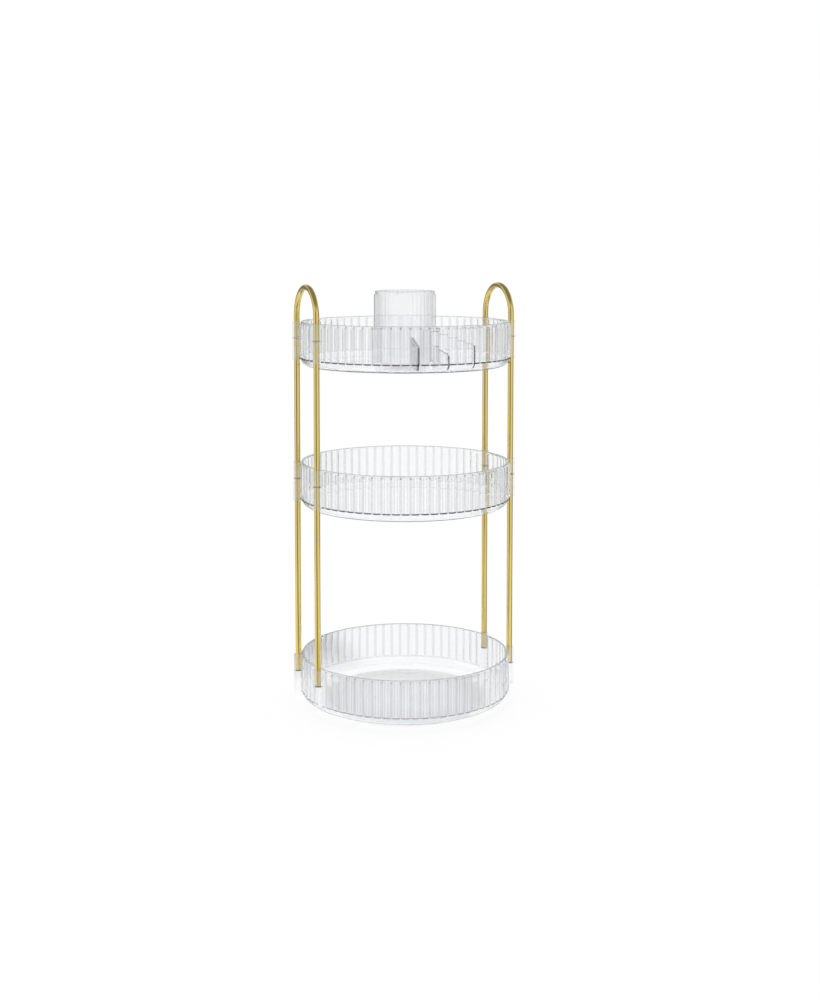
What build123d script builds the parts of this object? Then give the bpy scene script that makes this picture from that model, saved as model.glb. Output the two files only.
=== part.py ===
from build123d import *
import os
from math import cos, radians, sin

# A three-tier organizer that turns on its base. Three clear ribbed trays of one moulding stand
# one above the other on gold tubes. The tubes stand in sleeves on the outside of each tray, and
# two tube hoops over the top tray serve as handles. The top tray holds a brush cup and three
# dividers. The bottom tray sits on a ball-bearing turntable. All sizes are in millimetres, with
# +Z up, and the origin is on the table under the middle of the feet.

# Trays
tray_rib_radius = 115.0
tray_rib_depth = 1.7
tray_rib_root = 0.3
tray_rib_count = 72
tray_height = 48.5
tray_wall = 2.1
tray_foot_round = 8.5
tray_lip_band = 1.2
tray_rib_shoulder = 2.6
lip_bevel = 0.6

# Tiers, from the rim of one tray to the rim of the next
lower_tier_rise = 212.0
upper_tier_rise = 152.5

# Tubes and their sleeves
tube_diameter = 6.4
tube_wall = 0.8
post_angle = 15.7
post_standoff = 2.3
sleeve_wall = 1.55
sleeve_overhang = 1.5
socket_depth = 17.2
socket_web = 0.8
socket_clearance = 0.05
handle_leg = 5.8

# Brush cup
cup_rib_radius = 33.7
cup_rib_depth = 0.9
cup_rib_root = 0.2
cup_rib_count = 40
cup_height = 79.0
cup_wall = 1.8
cup_foot_round = 3.5
cup_lip_band = 3.0
cup_rib_shoulder = 1.4

# Dividers, with heights above the tray's floor
divider_thickness = 2.0
divider_heading = -87.5
divider_spread = 18.0
divider_corner = 6.0
divider_wall_gap = 6.0
divider_cup_gap = 0.4
long_divider_inner_height = 38.7
long_divider_outer_height = 24.5
short_divider_inner_radius = 71.0
short_divider_inner_height = 23.7
short_divider_outer_height = 15.5

# Turntable plates
turntable_radius = 88.0
base_thickness = 2.4
base_rim_height = 1.6
base_rim_wall = 1.6
plate_thickness = 2.6
plate_recess = 0.6
plate_band = 16.0

# Ball bearing
ball_diameter = 3.0
ball_count = 20
race_inset = 8.0
race_gap = 2.0
race_clearance = 0.05
cage_width = 9.0
cage_thickness = 1.0
cage_clearance = 0.1

# Pivot in the middle of the turntable
pivot_radius = 5.0
pivot_clearance = 0.05
pivot_play = 0.2
hub_web = 1.6
hub_wall = 9.0
washer_radius = 8.5
washer_thickness = 0.8
screw_diameter = 4.0
screw_clearance = 0.05
screw_length = 4.8
screw_head_radius = 3.6
screw_head_height = 1.3
screw_head_bevel = 0.5
screw_head_lift = 0.7
recess_clearance = 2.5

# Feet
foot_count = 6
foot_pad_radius = 5.0
foot_pad_height = 1.6
foot_pad_seat = 0.6
foot_pad_bevel = 0.4

# How far a cut runs past the face it starts from
overrun = 1.0

# Levels above the table
base_bottom = foot_pad_height - foot_pad_seat
base_top = base_bottom + base_thickness
plate_bottom = base_top + race_gap
plate_top = plate_bottom + plate_thickness
bottom_level = plate_top
middle_level = bottom_level + lower_tier_rise
top_level = middle_level + upper_tier_rise
tray_levels = {
    "bottom_tray": bottom_level,
    "middle_tray": middle_level,
    "top_tray": top_level,
}
top_floor = top_level + tray_wall
top_rim = top_level + tray_height

# Radii that follow from the trays and the tubes
tray_lip_radius = tray_rib_radius - tray_rib_depth - tray_rib_root
tray_inner_radius = tray_lip_radius - tray_wall
tube_radius = tube_diameter / 2
socket_radius = tube_radius + socket_clearance
sleeve_radius = socket_radius + sleeve_wall
post_circle = tray_rib_radius + post_standoff
post_x = post_circle * cos(radians(post_angle))
post_y = post_circle * sin(radians(post_angle))
post_places = {
    "front_left": (-post_x, -post_y),
    "back_left": (-post_x, post_y),
    "front_right": (post_x, -post_y),
    "back_right": (post_x, post_y),
}

# Heights inside the tray's sleeves, above the tray's underside
sleeve_bottom = tray_foot_round - sleeve_overhang
web_top = tray_height - socket_depth
web_bottom = web_top - socket_web

# Bearing and pivot places
race_radius = turntable_radius - race_inset
race_level = base_top + race_gap / 2
ball_radius = ball_diameter / 2
hub_bottom = screw_head_lift + screw_head_height + washer_thickness + pivot_play
hub_top = hub_bottom + hub_web
hub_bore = pivot_radius + pivot_clearance
boss_bottom = hub_bottom - pivot_play
washer_bottom = boss_bottom - washer_thickness
screw_radius = screw_diameter / 2
pilot_radius = screw_radius + screw_clearance


def polar(radius, angle):
    """The point at a radius and an angle in degrees about the vertical axis."""
    return (radius * cos(radians(angle)), radius * sin(radians(angle)))


def finish(part, label):
    """Names a finished piece and writes it to its own file."""
    part.label = label
    export_step(part, f"parts/{label}.step")


def rib_ring(valley_radius, crest_radius, count, inner_radius):
    """A ring whose outside is a row of convex ribs, one arc each."""
    pitch = 360 / count
    with BuildSketch() as ring:
        with BuildLine():
            for rib in range(count):
                ThreePointArc(
                    polar(valley_radius, rib * pitch),
                    polar(crest_radius, (rib + 1 / 2) * pitch),
                    polar(valley_radius, (rib + 1) * pitch),
                )
        make_face()
        Circle(inner_radius, mode=Mode.SUBTRACT)
    return ring.sketch


def ribbed_vessel(crest_radius, rib_depth, rib_root, count, height, wall, foot_round, lip_band, shoulder):
    """A round moulding with a rounded foot, a ribbed wall and a plain lip."""
    lip_radius = crest_radius - rib_depth - rib_root
    rib_top = height - lip_band
    cut_radius = crest_radius + overrun
    cut_depth = shoulder * (cut_radius - lip_radius) / (crest_radius - lip_radius)
    ribs = rib_ring(lip_radius + rib_root, crest_radius, count, lip_radius - wall / 2)
    with BuildPart() as vessel:
        extrude(ribs.moved(Location((0, 0, foot_round))), amount=rib_top - foot_round)
        # The ribs end in a slope below the lip, which gives each a rounded head.
        with BuildSketch(Plane.XZ):
            with BuildLine():
                Polyline(
                    (lip_radius, rib_top),
                    (cut_radius, rib_top - cut_depth),
                    (cut_radius, rib_top + overrun),
                    (lip_radius, rib_top + overrun),
                    close=True,
                )
            make_face()
        revolve(axis=Axis.Z, mode=Mode.SUBTRACT)
        with BuildSketch(Plane.XZ) as section:
            with BuildLine():
                Polyline(
                    (0, 0),
                    (lip_radius, 0),
                    (lip_radius, height),
                    (lip_radius - wall, height),
                    (lip_radius - wall, wall),
                    (0, wall),
                    close=True,
                )
            make_face()
            foot_corner = section.vertices().sort_by_distance((lip_radius, 0))[0]
            fillet(foot_corner, foot_round)
            floor_corner = section.vertices().sort_by_distance((lip_radius - wall, wall))[0]
            fillet(floor_corner, foot_round - wall)
            chamfer(section.vertices().group_by(Axis.Y)[-1], lip_bevel)
        revolve(axis=Axis.Z)
    return vessel.part


def upright(heading, level):
    """A vertical plane through the axis, with X outwards along the heading and Y up."""
    along = radians(heading)
    return Plane(
        origin=(0, 0, level),
        x_dir=(cos(along), sin(along), 0),
        z_dir=(sin(along), -cos(along), 0),
    )


def divider(heading, inner_radius, inner_height, outer_height):
    """A plate on the top tray's floor, with a sloped top and a rounded lower corner."""
    outer_radius = tray_inner_radius - divider_wall_gap
    with BuildPart() as plate:
        with BuildSketch(upright(heading, top_floor)) as outline:
            with BuildLine():
                Polyline(
                    (inner_radius, 0),
                    (outer_radius, 0),
                    (outer_radius, outer_height),
                    (inner_radius, inner_height),
                    close=True,
                )
            make_face()
            lower_corner = outline.vertices().sort_by_distance((outer_radius, 0))[0]
            fillet(lower_corner, divider_corner)
        extrude(amount=divider_thickness / 2, both=True)
    return plate.part


def post(place, bottom, top):
    """A straight tube between two webs."""
    with BuildPart() as tube:
        with BuildSketch(Plane.XY.offset(bottom)):
            with Locations(place):
                Circle(tube_radius)
                Circle(tube_radius - tube_wall, mode=Mode.SUBTRACT)
        extrude(amount=top - bottom)
    return tube.part


def handle(side):
    """A tube hoop over the top tray, with its legs in the sleeves on one side."""
    leg_bottom = top_level + web_top
    bow_start = top_rim + handle_leg
    x = side * post_x
    with BuildPart() as hoop:
        with BuildLine():
            Line((x, -post_y, leg_bottom), (x, -post_y, bow_start))
            ThreePointArc((x, -post_y, bow_start), (x, 0, bow_start + post_y), (x, post_y, bow_start))
            Line((x, post_y, bow_start), (x, post_y, leg_bottom))
        with BuildSketch(Plane.XY.offset(leg_bottom)):
            with Locations((x, -post_y)):
                Circle(tube_radius)
                Circle(tube_radius - tube_wall, mode=Mode.SUBTRACT)
        sweep()
    return hoop.part


os.makedirs("parts", exist_ok=True)

# Tray: the ribbed dish with four sleeves, each open at both ends and closed by a web between
dish = ribbed_vessel(
    tray_rib_radius,
    tray_rib_depth,
    tray_rib_root,
    tray_rib_count,
    tray_height,
    tray_wall,
    tray_foot_round,
    tray_lip_band,
    tray_rib_shoulder,
)
with BuildPart() as tray:
    add(dish)
    with BuildSketch(Plane.XY.offset(sleeve_bottom)):
        with Locations(*post_places.values()):
            Circle(sleeve_radius)
    extrude(amount=tray_height - sleeve_bottom)
    with BuildSketch(Plane.XY.offset(web_top)):
        with Locations(*post_places.values()):
            Circle(socket_radius)
    extrude(amount=socket_depth + overrun, mode=Mode.SUBTRACT)
    with BuildSketch(Plane.XY.offset(web_bottom)):
        with Locations(*post_places.values()):
            Circle(socket_radius)
    extrude(amount=sleeve_bottom - overrun - web_bottom, mode=Mode.SUBTRACT)
for name, level in tray_levels.items():
    finish(tray.part.moved(Location((0, 0, level))), name)

# Posts: four tubes to each storey, from web to web
storeys = {
    "lower_post": (bottom_level, middle_level),
    "upper_post": (middle_level, top_level),
}
for storey, (below, above) in storeys.items():
    for corner, place in post_places.items():
        finish(post(place, below + web_top, above + web_bottom), f"{storey}_{corner}")

# Handles
finish(handle(-1), "left_handle")
finish(handle(1), "right_handle")

# Brush cup, which stands loose on the top tray's floor
cup = ribbed_vessel(
    cup_rib_radius,
    cup_rib_depth,
    cup_rib_root,
    cup_rib_count,
    cup_height,
    cup_wall,
    cup_foot_round,
    cup_lip_band,
    cup_rib_shoulder,
)
finish(cup.moved(Location((0, 0, top_floor))), "brush_cup")

# Dividers: two long ones that start at the cup, and a short low one between them
long_divider_inner_radius = cup_rib_radius + divider_cup_gap
for name, turn in {"left_divider": -divider_spread, "right_divider": divider_spread}.items():
    plate = divider(
        divider_heading + turn,
        long_divider_inner_radius,
        long_divider_inner_height,
        long_divider_outer_height,
    )
    finish(plate, name)
plate = divider(
    divider_heading,
    short_divider_inner_radius,
    short_divider_inner_height,
    short_divider_outer_height,
)
finish(plate, "centre_divider")

# Turntable base: a disc with a raised rim, a hub in the middle and a race for the balls
with BuildPart() as turntable_base:
    rim_top = base_top + base_rim_height
    recess_radius = washer_radius + recess_clearance
    with BuildSketch(Plane.XZ):
        with BuildLine():
            Polyline(
                (hub_bore, hub_bottom),
                (recess_radius, hub_bottom),
                (recess_radius, base_bottom),
                (turntable_radius, base_bottom),
                (turntable_radius, rim_top),
                (turntable_radius - base_rim_wall, rim_top),
                (turntable_radius - base_rim_wall, base_top),
                (hub_bore + hub_wall, base_top),
                (hub_bore + hub_wall, hub_top),
                (hub_bore, hub_top),
                close=True,
            )
        make_face()
    revolve(axis=Axis.Z)
    with BuildSketch(Plane.XZ):
        with Locations((race_radius, race_level)):
            Circle(ball_radius + race_clearance)
    revolve(axis=Axis.Z, mode=Mode.SUBTRACT)
    with BuildSketch(Plane.XY.offset(base_bottom)):
        with PolarLocations(race_radius, foot_count):
            Circle(foot_pad_radius)
    extrude(amount=foot_pad_seat, mode=Mode.SUBTRACT)
finish(turntable_base.part, "turntable_base")

# Turntable plate: its outer band is bonded to the bottom tray, and its boss turns in the hub
with BuildPart() as turntable_plate:
    recess_level = plate_top - plate_recess
    band_inner_radius = turntable_radius - plate_band
    with BuildSketch(Plane.XZ):
        with BuildLine():
            Polyline(
                (0, boss_bottom),
                (pivot_radius, boss_bottom),
                (pivot_radius, plate_bottom),
                (turntable_radius, plate_bottom),
                (turntable_radius, plate_top),
                (band_inner_radius, plate_top),
                (band_inner_radius, recess_level),
                (0, recess_level),
                close=True,
            )
        make_face()
    revolve(axis=Axis.Z)
    with BuildSketch(Plane.XZ):
        with Locations((race_radius, race_level)):
            Circle(ball_radius + race_clearance)
    revolve(axis=Axis.Z, mode=Mode.SUBTRACT)
    with BuildSketch(Plane.XY.offset(boss_bottom)):
        Circle(pilot_radius)
    extrude(amount=screw_length - washer_thickness + screw_clearance, mode=Mode.SUBTRACT)
finish(turntable_plate.part, "turntable_plate")

# Ball bearing: steel balls in the holes of a flat ring
with BuildPart() as bearing_balls:
    with Locations((0, 0, race_level)):
        with PolarLocations(race_radius, ball_count):
            Sphere(ball_radius)
finish(bearing_balls.part, "bearing_balls")

with BuildPart() as ball_cage:
    with BuildSketch(Plane.XY.offset(race_level - cage_thickness / 2)):
        Circle(race_radius + cage_width / 2)
        Circle(race_radius - cage_width / 2, mode=Mode.SUBTRACT)
        with PolarLocations(race_radius, ball_count):
            Circle(ball_radius + cage_clearance, mode=Mode.SUBTRACT)
    extrude(amount=cage_thickness)
finish(ball_cage.part, "ball_cage")

# Pivot: a screw and a washer hold the plate's boss down in the base's hub
with BuildPart() as pivot_washer:
    with BuildSketch(Plane.XY.offset(washer_bottom)):
        Circle(washer_radius)
        Circle(pilot_radius, mode=Mode.SUBTRACT)
    extrude(amount=washer_thickness)
finish(pivot_washer.part, "pivot_washer")

with BuildPart() as pivot_screw:
    with BuildSketch(Plane.XY.offset(washer_bottom)):
        Circle(screw_head_radius)
    extrude(amount=-screw_head_height)
    chamfer(pivot_screw.edges().group_by(Axis.Z)[0], screw_head_bevel)
    with BuildSketch(Plane.XY.offset(washer_bottom)):
        Circle(screw_radius)
    extrude(amount=screw_length)
finish(pivot_screw.part, "pivot_screw")

# Feet: rubber pads in shallow seats under the base
with BuildPart() as base_feet:
    with BuildSketch():
        with PolarLocations(race_radius, foot_count):
            Circle(foot_pad_radius)
    extrude(amount=foot_pad_height)
    chamfer(base_feet.edges().group_by(Axis.Z)[0], foot_pad_bevel)
finish(base_feet.part, "base_feet")
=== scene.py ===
# %% [markdown]
# # A rotating organizer in clear plastic and gold
# Three clear ribbed trays stand one above the other on gold tubes and turn on a flat bearing.
# Nearly everything that shows is either clear plastic or bright metal, so this lesson is about
# edges: what light does at a rib, a rim or the mouth of a sleeve decides how the whole object
# looks. The engineering model is loaded first. It gives every size and place, and a piece made here
# only adds the finer surface on top of it.

# %% Load the engineering model
from math import atan2, cos, pi, radians, sin, sqrt

import bmesh
import bpy
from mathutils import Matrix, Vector


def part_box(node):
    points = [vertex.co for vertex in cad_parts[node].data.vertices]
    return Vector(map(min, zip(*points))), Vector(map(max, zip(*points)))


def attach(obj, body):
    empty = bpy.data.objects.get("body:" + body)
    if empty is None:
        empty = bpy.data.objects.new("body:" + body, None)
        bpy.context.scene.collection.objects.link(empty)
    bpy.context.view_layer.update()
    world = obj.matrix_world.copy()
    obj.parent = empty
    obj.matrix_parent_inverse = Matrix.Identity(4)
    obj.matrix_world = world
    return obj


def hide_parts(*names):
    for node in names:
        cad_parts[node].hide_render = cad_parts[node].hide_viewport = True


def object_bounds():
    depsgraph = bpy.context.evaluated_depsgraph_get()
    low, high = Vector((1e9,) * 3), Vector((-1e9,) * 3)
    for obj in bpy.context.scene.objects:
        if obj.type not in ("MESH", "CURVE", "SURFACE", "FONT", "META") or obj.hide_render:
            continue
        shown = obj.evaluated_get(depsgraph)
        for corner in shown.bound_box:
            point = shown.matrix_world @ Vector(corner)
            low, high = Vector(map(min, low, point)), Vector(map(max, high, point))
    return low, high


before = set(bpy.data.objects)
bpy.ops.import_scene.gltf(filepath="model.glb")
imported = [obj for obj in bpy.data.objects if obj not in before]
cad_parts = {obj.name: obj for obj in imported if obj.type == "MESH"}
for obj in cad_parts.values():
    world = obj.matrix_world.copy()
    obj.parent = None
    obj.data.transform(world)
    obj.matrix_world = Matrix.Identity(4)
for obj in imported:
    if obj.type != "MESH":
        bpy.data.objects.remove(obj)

cad_low, cad_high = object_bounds()
bpy.ops.object.select_all(action="DESELECT")
mm = 0.001
print("nodes:", len(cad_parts), "box:", [round(v / mm, 1) for v in (*cad_low, *cad_high)])

# %% [markdown]
# ## Sizes
# The levels of the trays are read from the engineering model. The smaller sizes are the same as
# there, apart from the eased edges and painted bands that only this script has. Each is written
# down once, by name.

# %% Set the sizes of the trays
trays = ("bottom_tray", "middle_tray", "top_tray")
tray_levels = {node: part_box(node)[0].z for node in trays}
tray_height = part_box("top_tray")[1].z - tray_levels["top_tray"]
tray_crest = 115 * mm
tray_rib_depth = 1.7 * mm
tray_rib_root = 0.3 * mm
tray_ribs = 72
tray_wall = 2.1 * mm
tray_foot_round = 8.5 * mm
tray_lip_band = 1.2 * mm
tray_rib_shoulder = 2.6 * mm
tray_lip = tray_crest - tray_rib_depth - tray_rib_root
lip_bevel = 0.6 * mm
rib_end_height = 1.5 * mm
tooth_height = 1.4 * mm
top_floor = tray_levels["top_tray"] + tray_wall

# %% Set the sizes of the sleeves and the tubes
post_circle = 117.3 * mm
post_angle = radians(15.7)
post_x = post_circle * cos(post_angle)
post_y = post_circle * sin(post_angle)
corners = {
    "front_left": (-post_x, -post_y),
    "back_left": (-post_x, post_y),
    "front_right": (post_x, -post_y),
    "back_right": (post_x, post_y),
}
sleeve_radius = 4.8 * mm
sleeve_bottom = 7 * mm
sleeve_bevel = 0.35 * mm
socket_radius = 3.25 * mm
socket_bevel = 0.1 * mm
web_low = 30.5 * mm
web_high = 31.3 * mm
web_collar = 0.3 * mm
overrun = 2 * mm
tube_radius = 3.2 * mm
tube_wall = 0.8 * mm
handle_leg = 5.8 * mm

# %% Set the sizes of the cup and the dividers
cup_crest = 33.7 * mm
cup_rib_depth = 0.9 * mm
cup_rib_root = 0.2 * mm
cup_ribs = 40
cup_height = 79 * mm
cup_wall = 1.8 * mm
cup_foot_round = 3.5 * mm
cup_lip_band = 3 * mm
cup_rib_shoulder = 1.4 * mm
cup_lip = cup_crest - cup_rib_depth - cup_rib_root
divider_thickness = 2 * mm
divider_corner = 6 * mm
divider_wall_gap = 6 * mm
divider_cup_gap = 0.4 * mm
divider_outer = tray_lip - tray_wall - divider_wall_gap
divider_heading = -87.5
divider_spread = 18
long_inner = cup_crest + divider_cup_gap
long_inner_height = 38.7 * mm
long_outer_height = 24.5 * mm
short_inner = 71 * mm
short_inner_height = 23.7 * mm
short_outer_height = 15.5 * mm
eased_edge = 0.25 * mm
lift = 0.15 * mm
slack = 0.05 * mm
print("tray levels:", [round(level / mm, 1) for level in tray_levels.values()])

# %% [markdown]
# ## Camera
# The picture was taken from a little above the top tray, turned about 23 degrees to the left, with
# the lens nearly level: the tubes stay parallel. A level lens that looks at an object below it
# needs a shifted picture. Here a small downward tilt does part of the work and the shift does the
# rest, which keeps the tubes almost parallel and still leaves the object inside the frame when the
# camera is moved to another side.

# %% Place the camera
view_turn = radians(-22.906)
camera_distance = 1.5574
camera_height = 0.504
camera_tilt = radians(4.224)
lens_length = 51.665
shift_across = 0.0051
shift_down = -0.15
bpy.ops.object.camera_add(
    location=(camera_distance * sin(view_turn), -camera_distance * cos(view_turn), camera_height),
    rotation=(pi / 2 - camera_tilt, 0, view_turn),
)
camera = bpy.context.object
camera.name = "photo_camera"
camera.data.sensor_width = 36
camera.data.lens = lens_length
camera.data.shift_x = shift_across
camera.data.shift_y = shift_down
bpy.context.scene.camera = camera
print("camera at", [round(v, 3) for v in camera.location])

# %% [markdown]
# ## Shader helpers
# Every finish below is built from nodes. A few small helpers keep that readable: one finds a socket
# by its name or number, one adds a node and fills in its settings and sockets, three are shorthands
# for a calculation, an eased step and a mix of two colours, and one starts a material and hands
# back its tree and its main shader.


# %% Add nodes and start materials
def socket_of(made, name):
    if name[0] == "_":
        return made.inputs[int(name[1:])]
    return made.inputs[name.replace("_", " ")]


def put(tree, kind, settings=None, **sockets):
    made = tree.nodes.new(kind)
    for name, value in (settings or {}).items():
        setattr(made, name, value)
    for name, value in sockets.items():
        socket = socket_of(made, name)
        if isinstance(value, bpy.types.NodeSocket):
            tree.links.new(value, socket)
        else:
            socket.default_value = value
    return made


def reckon(tree, operation, first, second=0.0):
    settings = {"operation": operation, "use_clamp": operation == "ADD"}
    return put(tree, "ShaderNodeMath", settings, _0=first, _1=second).outputs[0]


def ease(tree, value, low, high, at_low=0.0, at_high=1.0):
    settings = {"interpolation_type": "SMOOTHSTEP"}
    limits = {"_1": low, "_2": high, "_3": at_low, "_4": at_high}
    return put(tree, "ShaderNodeMapRange", settings, _0=value, **limits).outputs[0]


def mix(tree, share, first, second):
    return put(tree, "ShaderNodeMix", {"data_type": "RGBA"}, _0=share, _6=first, _7=second).outputs[2]


def start_finish(name):
    material = bpy.data.materials.new(name)
    material.use_nodes = True
    return material, material.node_tree, material.node_tree.nodes["Principled BSDF"]


# %% [markdown]
# ## Three shared effects
# A moulded skin is never perfectly flat: it has a slow wave from shrinking in the mould, and a fine grain or
# polish on top. A drawn metal tube carries faint lines along its length and cloudy patches from plating. A
# row of clear ribs gathers light like a row of lenses; here that light is painted: each rib carries a few
# painted bright and dark lines, set by its place in the turn. Each effect is a node group, built once, and
# every finish places it with its own values.


# %% Build the moulded skin group
def new_group(name, inputs, outputs):
    tree = bpy.data.node_groups.new(name, "ShaderNodeTree")
    for label, value in inputs.items():
        socket = tree.interface.new_socket(label, in_out="INPUT", socket_type="NodeSocketFloat")
        socket.default_value = value
    for label in outputs:
        tree.interface.new_socket(label, in_out="OUTPUT", socket_type="NodeSocketFloat")
    return tree, put(tree, "NodeGroupInput"), put(tree, "NodeGroupOutput")


moulded_skin, skin_in, skin_out = new_group(
    "moulded_skin", {"Wave Scale": 40.0, "Grain Scale": 2500.0}, ["Wave", "Grain", "Haze"]
)
where = put(moulded_skin, "ShaderNodeTexCoord").outputs["Object"]
wave_scale = skin_in.outputs["Wave Scale"]
grain_scale = skin_in.outputs["Grain Scale"]
wave = put(moulded_skin, "ShaderNodeTexNoise", Vector=where, Scale=wave_scale, Detail=1.0)
grain = put(moulded_skin, "ShaderNodeTexNoise", Vector=where, Scale=grain_scale, Detail=2.0)
haze = put(moulded_skin, "ShaderNodeTexNoise", Vector=where, Scale=22.0, Detail=4.0)
patchy = put(moulded_skin, "ShaderNodeMapRange", _0=haze.outputs["Fac"], _1=0.35, _2=0.7)
moulded_skin.links.new(wave.outputs["Fac"], skin_out.inputs["Wave"])
moulded_skin.links.new(grain.outputs["Fac"], skin_out.inputs["Grain"])
moulded_skin.links.new(patchy.outputs["Result"], skin_out.inputs["Haze"])
print("group:", moulded_skin.name)

# %% Build the drawn metal group
drawn_metal, drawn_in, drawn_out = new_group(
    "drawn_metal", {"Line Scale": 3000.0, "Cloud Scale": 60.0}, ["Lines", "Clouds"]
)
where = put(drawn_metal, "ShaderNodeTexCoord").outputs["Object"]
along = put(drawn_metal, "ShaderNodeMapping", Vector=where, Scale=(1.0, 1.0, 0.02)).outputs["Vector"]
line_scale = drawn_in.outputs["Line Scale"]
cloud_scale = drawn_in.outputs["Cloud Scale"]
lines = put(drawn_metal, "ShaderNodeTexNoise", Vector=along, Scale=line_scale, Detail=3.0)
clouds = put(drawn_metal, "ShaderNodeTexNoise", Vector=where, Scale=cloud_scale, Detail=3.0)
drawn_metal.links.new(lines.outputs["Fac"], drawn_out.inputs["Lines"])
drawn_metal.links.new(clouds.outputs["Fac"], drawn_out.inputs["Clouds"])
print("group:", drawn_metal.name)

# %% Build the painted lens lines group
# Painted light and shade: three bright and dark lines round each rib, set by its place in the turn, and a
# painted dark line at each valley. They take the place of light that the ribs gather like lenses.
lines_per_rib = 3.0
painted_lens_lines, ribs_in, ribs_out = new_group("painted_lens_lines", {"Ribs": 72.0}, ["Valley", "Fine"])
where = put(painted_lens_lines, "ShaderNodeTexCoord").outputs["Object"]
axes = put(painted_lens_lines, "ShaderNodeSeparateXYZ", Vector=where)
turn = reckon(painted_lens_lines, "ARCTAN2", axes.outputs["Y"], axes.outputs["X"])
phase = reckon(painted_lens_lines, "MULTIPLY", turn, ribs_in.outputs["Ribs"])
valley = ease(painted_lens_lines, reckon(painted_lens_lines, "COSINE", phase), 0.1, 0.95)
fine_phase = reckon(painted_lens_lines, "MULTIPLY", phase, lines_per_rib)
fine = ease(painted_lens_lines, reckon(painted_lens_lines, "COSINE", fine_phase), -0.4, 0.9)
painted_lens_lines.links.new(valley, ribs_out.inputs["Valley"])
painted_lens_lines.links.new(fine, ribs_out.inputs["Fine"])
print("group:", painted_lens_lines.name)

# %% [markdown]
# ## Clear plastic
# The trays, the cup and the dividers are clear styrene. Such plastic swallows a little light, so a long way
# through a wall or a rib looks grey, and a short way looks clear. How long the way is depends on the slant
# of the face, and on the ribs it changes with every painted line. The grey here is partly that and partly
# painted shade: slanted faces, outlines and ribs seen from outside are painted darker than swallowed light
# alone would make them, in place of light bent and mirrored inside the plastic. Bending of light is kept
# small, because here the painted lines stand for it. The sleeves are a little milky, which pales the gold
# inside them. For the shadow the plastic is treated as a thin film, because light does pass through it.


# %% Find the long way through the plastic and the painted shade
def shared(tree, group, **values):
    made = put(tree, "ShaderNodeGroup", {"node_tree": group})
    for name, value in values.items():
        made.inputs[name.replace("_", " ")].default_value = value
    return made


def slant(tree, low, high):
    facing = put(tree, "ShaderNodeLayerWeight", Blend=0.5).outputs["Facing"]
    return ease(tree, facing, low, high)


def upright_slant(tree, low, high):
    normal = put(tree, "ShaderNodeNewGeometry").outputs["Normal"]
    rise = put(tree, "ShaderNodeSeparateXYZ", Vector=normal).outputs["Z"]
    upright = reckon(tree, "SUBTRACT", 1.0, reckon(tree, "MULTIPLY", rise, rise))
    return reckon(tree, "MULTIPLY", slant(tree, low, high), upright)


def foot_slant(tree):
    return upright_slant(tree, 0.6, 0.95)


def lip_slant(tree):
    return upright_slant(tree, 0.4, 0.85)


def plain_slant(tree):
    return upright_slant(tree, 0.03, 0.3)


def floor_slant(tree):
    return slant(tree, 0.78, 0.92)


def sheet_slant(tree):
    return slant(tree, 0.5, 0.9)


def sleeve_slant(tree):
    return slant(tree, 0.6, 0.95)


valley_over_fine = 1.25


# Painted light and shade on the ribs: seen from outside, faint painted lines and a darker painted line at
# each valley; seen from inside, only the valley line. The stronger of these and the slant sets the grey.
def rib_painted_lines_and_slant(tree, ribs, fine_share, low, high):
    lines = shared(tree, painted_lens_lines, Ribs=float(ribs)).outputs
    behind = put(tree, "ShaderNodeNewGeometry").outputs["Backfacing"]
    faint = reckon(tree, "MULTIPLY", lines["Fine"], fine_share)
    valley = reckon(tree, "MULTIPLY", lines["Valley"], valley_over_fine * fine_share)
    front = reckon(tree, "MAXIMUM", faint, valley)
    drawn = put(tree, "ShaderNodeMix", _0=behind, _2=front, _3=lines["Valley"]).outputs[0]
    return reckon(tree, "MAXIMUM", drawn, slant(tree, low, high))


def tray_painted_lines_and_slant(tree):
    return rib_painted_lines_and_slant(tree, tray_ribs, fine_share=0.32, low=0.6, high=0.95)


def cup_painted_lines_and_slant(tree):
    return rib_painted_lines_and_slant(tree, cup_ribs, fine_share=0.1, low=0.3, high=0.85)


# %% Mix the clear plastic
def clear_finish(name, swallowed_and_painted_grey, outside, inside, clear, coat, bend=1.03):
    material, tree, shader = start_finish(name)
    skin = shared(tree, moulded_skin, Wave_Scale=45.0, Grain_Scale=900.0)
    share = swallowed_and_painted_grey(tree)
    behind = put(tree, "ShaderNodeNewGeometry").outputs["Backfacing"]
    # Painted shade: faces seen from outside take the outside tones. On the ribs and the cup these are darker
    # than the tones seen from inside.
    tint = mix(tree, behind, mix(tree, share, *outside), mix(tree, share, *inside))
    tree.links.new(tint, shader.inputs["Base Color"])
    shader.inputs["Transmission Weight"].default_value = clear
    shader.inputs["IOR"].default_value = bend
    shader.inputs["Coat Weight"].default_value = coat
    shader.inputs["Coat Roughness"].default_value = 0.03
    gloss = put(tree, "ShaderNodeMapRange", _0=skin.outputs["Haze"], _3=0.0, _4=0.03)
    tree.links.new(gloss.outputs["Result"], shader.inputs["Roughness"])
    ripple = put(tree, "ShaderNodeBump", Height=skin.outputs["Wave"], Strength=0.25, Distance=0.0006)
    tree.links.new(ripple.outputs["Normal"], shader.inputs["Normal"])
    film = put(tree, "ShaderNodeBsdfTransparent", Color=(0.975, 0.98, 0.98, 1.0)).outputs["BSDF"]
    shadow = put(tree, "ShaderNodeLightPath").outputs["Is Shadow Ray"]
    either = put(tree, "ShaderNodeMixShader", _0=shadow, _1=shader.outputs["BSDF"], _2=film)
    tree.links.new(either.outputs["Shader"], tree.nodes["Material Output"].inputs["Surface"])
    return material


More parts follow.
